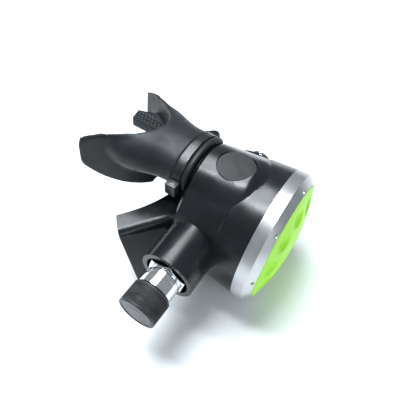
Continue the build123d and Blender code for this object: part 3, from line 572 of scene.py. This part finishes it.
# ---- inlet ------------------------------------------------------------------------
def make_inlet():
    low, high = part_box("inlet_fitting")
    boss_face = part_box("inlet_washer")[1].x
    hex_end = boss_face + INLET_HEX_LENGTH
    thread_start = hex_end + INLET_RELIEF
    crown = INLET_HEX / 2 + HEX_CROWN

    def shape(x, r, turn):
        if r == crown:
            bevel = min(x - boss_face, hex_end - x) / (0.8 * MM)
            round_r = INLET_HEX / 2 + max(0.0, min(1.0, bevel)) * HEX_CROWN
            return min(hexagon_reach(turn, INLET_HEX, 0.0), round_r)
        if r == STUB_R and thread_start < x < high.x - STUB_CHAMFER:
            past = x - thread_start
            left = high.x - STUB_CHAMFER - x
            cut = triangle(past / THREAD_PITCH - turn / (2 * math.pi))
            fade = min(1.0, past / THREAD_PITCH, left / THREAD_PITCH * 2)
            return r - THREAD_DEPTH * fade * max(0.0, min(1.0, 1.15 - 1.3 * cut))
        return r

    profile = [(low.x, INLET_TUBE_R), (boss_face, INLET_TUBE_R), (boss_face, INLET_HEX / 2 - 1.0 * MM)]
    profile += [(x, crown) for x in between(boss_face, hex_end, 0.2 * MM)]
    profile += [(hex_end, INLET_HEX / 2 - 1.0 * MM), (hex_end, INLET_RELIEF_R)]
    profile += [(thread_start - 0.2 * MM, INLET_RELIEF_R)]
    profile += [(x, STUB_R) for x in between(thread_start, high.x - STUB_CHAMFER, 0.09 * MM)]
    profile += [(high.x, STUB_R - STUB_CHAMFER), (high.x, STUB_BORE_R + 0.3 * MM)]
    profile += [(high.x - 0.3 * MM, STUB_BORE_R), (low.x + ORIFICE_POCKET, STUB_BORE_R)]
    profile += [(low.x + ORIFICE_POCKET, ORIFICE_R), (low.x, ORIFICE_R)]
    mesh = turned("threaded_inlet", profile, 192, shape)
    smooth(mesh, 30)
    piece("threaded_inlet", mesh, "chrome", "housing", "inlet_fitting")


# ---- mouthpiece -------------------------------------------------------------------
def relax(work, passes, share, chosen):
    """Move chosen vertices towards the middle of their neighbours, several times."""
    rings = [(vert, [edge.other_vert(vert) for edge in vert.link_edges]) for vert in chosen]
    for _ in range(passes):
        moves = []
        for vert, ring in rings:
            middle = sum((other.co for other in ring), Vector()) / len(ring)
            moves.append(vert.co.lerp(middle, share))
        for (vert, _), move in zip(rings, moves):
            vert.co = move


def dimple(place):
    """Depth of the bite tab's dimples at a point of the tab's top or underside."""
    across = abs(place.x - AXIS.x)
    along = place.y - AXIS.y
    margin = DIMPLE_PITCH / 2
    if not TAB_INSIDE + margin * 0.6 < across < TAB_OUTSIDE - margin * 0.2:
        return 0.0
    if not TAB_START + margin < along < TAB_END - margin:
        return 0.0
    row = round((across - TAB_INSIDE - margin) / DIMPLE_PITCH)
    column = round((along - TAB_START - margin) / DIMPLE_PITCH - 0.5 * (row % 2)) + 0.5 * (row % 2)
    away = math.hypot(
        across - TAB_INSIDE - margin - row * DIMPLE_PITCH,
        along - TAB_START - margin - column * DIMPLE_PITCH,
    )
    return DIMPLE_DEPTH * max(0.0, 1 - (away / DIMPLE_R) ** 2)


def make_mouthpiece():
    """Soft skin over the mouthpiece's solid: eased edges, a flared neck and dimpled tabs."""
    skin = remeshed(welded_copy("mouthpiece"), SKIN_VOXEL)
    middle_z = (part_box("mouthpiece_tie")[0].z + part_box("mouthpiece_tie")[1].z) / 2
    work = bmesh.new()
    work.from_mesh(skin)
    work.verts.ensure_lookup_table()
    relax(work, SKIN_PASSES, 0.5, list(work.verts))

    def in_flare(place):
        y = place.y - AXIS.y
        across = math.hypot((place.x - AXIS.x) / FLARE_HALF_WIDTH, (place.z - middle_z) / FLARE_HALF_HEIGHT)
        on_tab = y > TAB_START - 3 * MM and abs(place.z - AXIS.z - TAB_Z) < TAB_REACH
        in_reach = NECK_END - FLARE_BEFORE < y < NECK_END + FLARE_AFTER
        return in_reach and 0.70 * MM < across < 1.25 * MM and not on_tab

    relax(work, FLARE_PASSES, 0.5, [vert for vert in work.verts if in_flare(vert.co)])
    near_tabs = [
        edge for edge in work.edges
        if TAB_INSIDE - MM < abs(edge.verts[0].co.x - AXIS.x) < TAB_OUTSIDE + MM
        and edge.verts[0].co.y - AXIS.y > TAB_START - MM
        and abs(edge.verts[0].co.z - AXIS.z - TAB_Z) < TAB_REACH
    ]
    bmesh.ops.subdivide_edges(work, edges=near_tabs, cuts=1, use_grid_fill=True)
    work.normal_update()
    for vert in work.verts:
        if abs(vert.normal.z) > 0.8 and abs(vert.co.z - AXIS.z - TAB_Z) < TAB_REACH:
            vert.co -= vert.normal * dimple(vert.co)
    for vert in work.verts:
        share = max(0.0, min(1.0, (vert.co.y - AXIS.y - TWIST_START) / (NECK_END - TWIST_START)))
        pivot = Vector((AXIS.x, vert.co.y, middle_z))
        turned_by = Matrix.Rotation(TWIST * share**2 * (3 - 2 * share), 3, "Y")
        vert.co = pivot + turned_by @ (vert.co - pivot)
    work.to_mesh(skin)
    work.free()
    skin.shade_smooth()
    piece("mouthpiece_skin", skin, "mouth_silicone", "housing", "mouthpiece")


# ---- tie --------------------------------------------------------------------------
def tie_path(half_width, half_height, steps):
    """Points and outward directions round an oval, by equal lengths."""
    fine = 2000
    angles = [2 * math.pi * number / fine for number in range(fine + 1)]
    points = [Vector((half_width * math.cos(turn), 0, half_height * math.sin(turn))) for turn in angles]
    lengths = [0.0]
    for first, second in zip(points, points[1:]):
        lengths.append(lengths[-1] + (second - first).length)
    path = []
    index = 0
    for step in range(steps):
        goal = lengths[-1] * step / steps
        while lengths[index + 1] < goal:
            index += 1
        share = (goal - lengths[index]) / (lengths[index + 1] - lengths[index])
        point = points[index].lerp(points[index + 1], share)
        outward = Vector((point.x / half_width**2, 0, point.z / half_height**2)).normalized()
        path.append((point, outward))
    return path, lengths[-1]


def add_block(work, centre, size, bevel):
    """Box with rounded edges, added to a mesh."""
    made = bmesh.ops.create_cube(work, size=1.0)
    bmesh.ops.scale(work, vec=size, verts=made["verts"])
    bmesh.ops.translate(work, vec=centre, verts=made["verts"])
    edges = list({edge for vert in made["verts"] for edge in vert.link_edges})
    bmesh.ops.bevel(work, geom=edges, offset=bevel, segments=3, affect="EDGES", profile=0.5)


def make_tie():
    """Ratchet strap with a toothed band, a locking head and a trimmed tail."""
    low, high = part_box("mouthpiece_tie")
    thick = TIE_THICKNESS
    edge = TIE_EDGE
    half_width = high.x - AXIS.x - thick
    half_height = (high.z - low.z) / 2 - thick
    centre = Vector((AXIS.x, 0, (high.z + low.z) / 2))
    path, length = tie_path(half_width, half_height, 480)
    work = bmesh.new()
    rows = []
    for number, (point, outward) in enumerate(path):
        tooth = TOOTH_DEPTH * (number * length / len(path) / TOOTH_PITCH % 1.0)
        section = (
            (TIE_GAP, low.y),
            (thick - edge, low.y),
            (thick, low.y + edge),
            (thick, low.y + 3 * edge),
            (thick - tooth, low.y + 3 * edge),
            (thick - tooth, high.y - 3 * edge),
            (thick, high.y - 3 * edge),
            (thick, high.y - edge),
            (thick - edge, high.y),
            (TIE_GAP, high.y),
        )
        base = centre + point
        rows.append([work.verts.new(base + outward * out + Vector((0, y, 0))) for out, y in section])
    for row, after in zip(rows, rows[1:] + rows[:1]):
        for side in range(len(row)):
            beside = (side + 1) % len(row)
            work.faces.new((row[side], after[side], after[beside], row[beside]))
    head = Vector((low.x + TIE_HEAD_DEPTH / 2, (low.y + high.y) / 2, centre.z - TIE_HEAD_DROP))
    lip = head + Vector((-0.1 * MM, 0, 3.1 * MM))
    tail = head + Vector((0.4 * MM, 0, -3.4 * MM))
    add_block(work, head, (TIE_HEAD_DEPTH, high.y - low.y + 1.6 * MM, 7.0 * MM), 0.6 * MM)
    add_block(work, lip, (TIE_HEAD_DEPTH * 0.55, 4.2 * MM, 1.2 * MM), 0.3 * MM)
    add_block(work, tail, (1.3 * MM, 3.8 * MM, 2.2 * MM), 0.25 * MM)
    bmesh.ops.recalc_face_normals(work, faces=work.faces)
    mesh = bpy.data.meshes.new("ratchet_tie")
    work.to_mesh(mesh)
    work.free()
    smooth(mesh, 40)
    piece("ratchet_tie", mesh, "tie", "housing", "mouthpiece_tie")


# ---- springs and diaphragm --------------------------------------------------------
def make_purge_coil():
    """Smooth coil that moves with the purge button."""
    mesh = welded_copy("purge_spring")
    mesh.shade_smooth()
    coil = piece("purge_coil", mesh, "spring_steel", "purge_button", "purge_spring")
    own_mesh(coil)


def part_of(node, name, chosen):
    """The faces of a node whose middles pass a test, as a new mesh."""
    work = bmesh.new()
    work.from_mesh(welded_copy(node))
    rest = [face for face in work.faces if not chosen(face.calc_center_median())]
    bmesh.ops.delete(work, geom=rest, context="FACES")
    mesh = bpy.data.meshes.new(name)
    work.to_mesh(mesh)
    work.free()
    return mesh


def make_poppet_coil():
    """Coil between the poppet and the carriage, in two halves that meet at its middle."""
    low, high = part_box("poppet_spring")
    middle = (low.x + high.x) / 2
    halves = (
        ("poppet_coil_front", "poppet_group", high.x, lambda place: place.x > middle),
        ("poppet_coil_rear", "carriage", low.x, lambda place: place.x <= middle),
    )
    for name, body, end, chosen in halves:
        mesh = part_of("poppet_spring", name, chosen)
        mesh.shade_smooth()
        half = shown(name, mesh, "spring_steel", "poppet_spring")
        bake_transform(half)


def make_diaphragm():
    """Silicone sheet in two pieces: the clamped rim with its fold, and the moving middle."""
    low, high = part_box("diaphragm_plate")
    plate_r = (high.x - low.x) / 2

    def in_middle(place):
        return math.hypot(place.x - AXIS.x, place.z - AXIS.z) < plate_r

    parts = (
        ("diaphragm_middle", "diaphragm_centre", in_middle),
        ("diaphragm_rim", "housing", lambda place: not in_middle(place)),
    )
    for name, body, chosen in parts:
        mesh = part_of("diaphragm", name, chosen)
        smooth(mesh, 30)
        piece(name, mesh, "silicone", body, "diaphragm")


# ---- CAD nodes that stay ----------------------------------------------------------
BEVELS = {
    "case": 0.45, "exhaust_tee": 0.5, "cover_ring": 0.25, "purge_cover": 0.35, "badge_disc": 0.12,
    "valve_barrel": 0.15, "poppet": 0.15, "spring_carriage": 0.15, "demand_lever": 0.12,
    "lever_bracket": 0.12, "diaphragm_plate": 0.15, "exhaust_valve": 0.12, "knob_screw": 0.1,
    "orifice": 0.12,
}


def finish_node(name):
    """Material and eased edges for a CAD piece that is shown as it is."""
    slots = {row["node"]: row["material_slot"] for row in frame["record"]["subparts"]}
    node = NODES[name]
    if not node.material_slots:
        node.data.materials.append(None)
    for slot in node.material_slots:
        slot.link = "OBJECT"
        slot.material = MATERIALS[slots[name]]
    if name in BEVELS:
        weld = node.modifiers.new("weld", "WELD")
        weld.merge_threshold = 2e-6
        bevel = node.modifiers.new("eased", "BEVEL")
        bevel.width = BEVELS[name] * MM
        bevel.segments = 3
        bevel.limit_method = "ANGLE"
        bevel.angle_limit = math.radians(28)
        bevel.harden_normals = False
        weighted = node.modifiers.new("shading", "WEIGHTED_NORMAL")
        weighted.keep_sharp = True


LIT = (-0.04, 0.0, 0.0)        # the point that the lamps are aimed at

make_camera()
make_world()
softbox("key_box", (0.08, 0.20, 0.58), LIT, 0.36, 0.36, 5.2)
softbox("strip_box", (-0.11, 0.20, 0.57), LIT, 0.05, 0.34, 2.2)
softbox("front_box", (-0.25, -0.50, 0.30), LIT, 0.3, 0.3, 0.8)
make_floor(cad_box[0].z)
MATERIALS = make_materials()
make_knob()
make_cap()
make_adjuster()
make_inlet()
make_mouthpiece()
make_tie()
make_diaphragm()
make_purge_coil()
make_poppet_coil()
for node_name, node_object in NODES.items():
    if not node_object.hide_render:
        finish_node(node_name)
